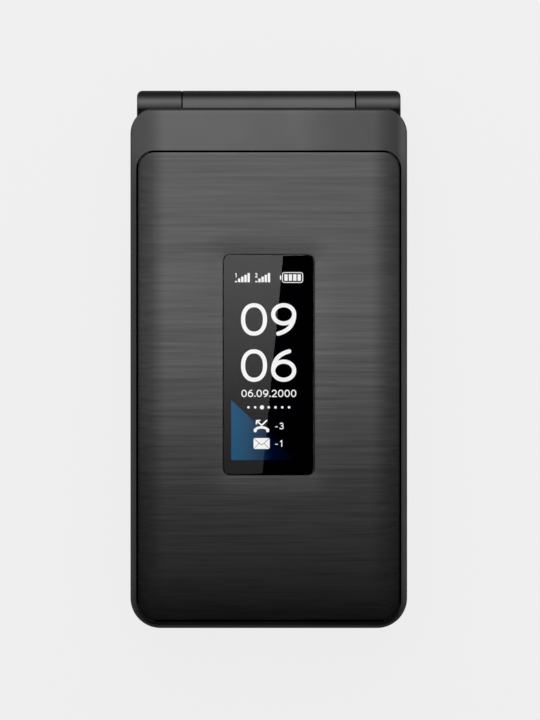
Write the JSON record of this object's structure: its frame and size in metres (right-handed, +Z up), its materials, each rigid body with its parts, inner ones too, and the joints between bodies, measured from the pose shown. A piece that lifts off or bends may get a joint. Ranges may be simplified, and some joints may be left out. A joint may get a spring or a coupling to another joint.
{
  "type": "flip phone",
  "caption": "Slim dark clamshell mobile phone with a brushed lid, a portrait outer display, a round hinge barrel, a keypad and a sliding battery cover.",
  "frame": {"origin": "middle of the outline on the underside of the back, where the closed phone rests", "axes": "+X to the right seen from above the lid, +Y towards the hinge, +Z up out of the lid"},
  "size_m": [0.057, 0.1108, 0.0188],
  "materials": {
    "lid_front_cover": "satin black moulded cover",
    "lid_panel": "dark brushed inlay, streaks across the lid",
    "outer_lens": "glossy dark display lens",
    "outer_display": "small portrait display, lit",
    "lid_inner_frame": "satin black moulded frame with the hinge barrel",
    "main_lens": "glossy dark display lens",
    "main_display": "display panel, switched off",
    "earpiece_mesh": "fine dark mesh",
    "earpiece_speaker": "sealed capsule",
    "lid_board": "circuit board",
    "lid_bumpers": "soft rubber",
    "lid_screws": "cross-head screws",
    "screw_plugs": "soft rubber plugs",
    "lid_magnet": "plated magnet",
    "hinge_unit": "steel cam and spring unit",
    "hinge_bush": "steel bush",
    "hinge_flex": "rolled flexible circuit",
    "base_front_cover": "satin black moulded keypad deck with the knuckles",
    "base_rear_cover": "satin black moulded back",
    "main_board": "circuit board",
    "dome_sheet": "sheet of metal domes under film",
    "keys": "satin black key caps with pale signs",
    "nav_ring": "dark grey satin ring",
    "volume_rocker": "satin black rocker",
    "battery": "battery in a plain wrap",
    "battery_cover": "satin black sliding cover",
    "battery_contacts": "sprung contacts in their block",
    "sim_holder": "pressed steel card holder",
    "usb_port": "pressed steel shell round a tongue",
    "audio_jack": "black socket body",
    "camera_module": "black camera module",
    "camera_window": "clear dark window",
    "lamp": "pale lamp lens",
    "loudspeaker": "loudspeaker",
    "speaker_mesh": "fine black mesh",
    "microphone": "small capsule",
    "vibration_motor": "cylindrical motor with its weight",
    "antenna_carrier": "plastic carrier",
    "shield_cans": "tinned covers",
    "base_screws": "cross-head screws"
  },
  "bodies": {
    "base": {"base_front_cover": "base_front_cover", "base_rear_cover": "base_rear_cover", "main_board": "main_board", "dome_sheet": "dome_sheet", "battery": "battery", "battery_contacts": "battery_contacts", "sim_holder": "sim_holder", "usb_port": "usb_port", "audio_jack": "audio_jack", "camera_module": "camera_module", "camera_window": "camera_window", "lamp": "lamp", "loudspeaker": "loudspeaker", "speaker_mesh": "speaker_mesh", "microphone": "microphone", "vibration_motor": "vibration_motor", "antenna_carrier": "antenna_carrier", "shield_cans": "shield_cans", "base_screws": "base_screws"},
    "lid": {"lid_front_cover": "lid_front_cover", "lid_panel": "lid_panel", "outer_lens": "outer_lens", "outer_display": "outer_display", "lid_inner_frame": "lid_inner_frame", "main_lens": "main_lens", "main_display": "main_display", "earpiece_mesh": "earpiece_mesh", "earpiece_speaker": "earpiece_speaker", "lid_board": "lid_board", "lid_bumpers": "lid_bumpers", "lid_screws": "lid_screws", "screw_plugs": "screw_plugs", "lid_magnet": "lid_magnet", "hinge_unit": "hinge_unit", "hinge_bush": "hinge_bush", "hinge_flex": "hinge_flex"},
    "battery_cover": {"battery_cover": "battery_cover"},
    "key_star": {"key_star": "keys"},
    "key_0": {"key_0": "keys"},
    "key_hash": {"key_hash": "keys"},
    "key_7": {"key_7": "keys"},
    "key_8": {"key_8": "keys"},
    "key_9": {"key_9": "keys"},
    "key_4": {"key_4": "keys"},
    "key_5": {"key_5": "keys"},
    "key_6": {"key_6": "keys"},
    "key_1": {"key_1": "keys"},
    "key_2": {"key_2": "keys"},
    "key_3": {"key_3": "keys"},
    "soft_left": {"soft_left": "keys"},
    "soft_right": {"soft_right": "keys"},
    "call_key": {"call_key": "keys"},
    "end_key": {"end_key": "keys"},
    "ok_key": {"ok_key": "keys"},
    "nav_ring": {"nav_ring": "nav_ring"},
    "volume_rocker": {"volume_rocker": "volume_rocker"}
  },
  "joints": [
    {"name": "lid_hinge", "type": "hinge", "parent": "base", "child": "lid", "pos_m": [0, 0.0508, 0.0102], "axis": [-1, 0, 0], "range_deg": [0, 160]},
    {"name": "battery_cover_slide", "type": "slide", "parent": "base", "child": "battery_cover", "axis": [0, -1, 0], "range_m": [0, 0.0035]},
    {"name": "key_star_press", "type": "slide", "parent": "base", "child": "key_star", "axis": [0, 0, -1], "range_m": [0, 0.00025], "stiffness_N_per_m": 2000},
    {"name": "key_0_press", "type": "slide", "parent": "base", "child": "key_0", "axis": [0, 0, -1], "range_m": [0, 0.00025], "stiffness_N_per_m": 2000},
    {"name": "key_hash_press", "type": "slide", "parent": "base", "child": "key_hash", "axis": [0, 0, -1], "range_m": [0, 0.00025], "stiffness_N_per_m": 2000},
    {"name": "key_7_press", "type": "slide", "parent": "base", "child": "key_7", "axis": [0, 0, -1], "range_m": [0, 0.00025], "stiffness_N_per_m": 2000},
    {"name": "key_8_press", "type": "slide", "parent": "base", "child": "key_8", "axis": [0, 0, -1], "range_m": [0, 0.00025], "stiffness_N_per_m": 2000},
    {"name": "key_9_press", "type": "slide", "parent": "base", "child": "key_9", "axis": [0, 0, -1], "range_m": [0, 0.00025], "stiffness_N_per_m": 2000},
    {"name": "key_4_press", "type": "slide", "parent": "base", "child": "key_4", "axis": [0, 0, -1], "range_m": [0, 0.00025], "stiffness_N_per_m": 2000},
    {"name": "key_5_press", "type": "slide", "parent": "base", "child": "key_5", "axis": [0, 0, -1], "range_m": [0, 0.00025], "stiffness_N_per_m": 2000},
    {"name": "key_6_press", "type": "slide", "parent": "base", "child": "key_6", "axis": [0, 0, -1], "range_m": [0, 0.00025], "stiffness_N_per_m": 2000},
    {"name": "key_1_press", "type": "slide", "parent": "base", "child": "key_1", "axis": [0, 0, -1], "range_m": [0, 0.00025], "stiffness_N_per_m": 2000},
    {"name": "key_2_press", "type": "slide", "parent": "base", "child": "key_2", "axis": [0, 0, -1], "range_m": [0, 0.00025], "stiffness_N_per_m": 2000},
    {"name": "key_3_press", "type": "slide", "parent": "base", "child": "key_3", "axis": [0, 0, -1], "range_m": [0, 0.00025], "stiffness_N_per_m": 2000},
    {"name": "soft_left_press", "type": "slide", "parent": "base", "child": "soft_left", "axis": [0, 0, -1], "range_m": [0, 0.00025], "stiffness_N_per_m": 2000},
    {"name": "soft_right_press", "type": "slide", "parent": "base", "child": "soft_right", "axis": [0, 0, -1], "range_m": [0, 0.00025], "stiffness_N_per_m": 2000},
    {"name": "call_key_press", "type": "slide", "parent": "base", "child": "call_key", "axis": [0, 0, -1], "range_m": [0, 0.00025], "stiffness_N_per_m": 2000},
    {"name": "end_key_press", "type": "slide", "parent": "base", "child": "end_key", "axis": [0, 0, -1], "range_m": [0, 0.00025], "stiffness_N_per_m": 2000},
    {"name": "ok_key_press", "type": "slide", "parent": "base", "child": "ok_key", "axis": [0, 0, -1], "range_m": [0, 0.00025], "stiffness_N_per_m": 2000},
    {"name": "nav_ring_tilt", "type": "hinge", "parent": "base", "child": "nav_ring", "pos_m": [0, 0.0114, 0.00835], "axis": [1, 0, 0], "range_deg": [-1.2, 1.2], "stiffness_Nm_per_rad": 0.8},
    {"name": "volume_rocker_tilt", "type": "hinge", "parent": "base", "child": "volume_rocker", "pos_m": [-0.0251, 0.027, 0.0051], "axis": [0, 0, 1], "range_deg": [-1.4, 1.4], "stiffness_Nm_per_rad": 0.6}
  ]
}
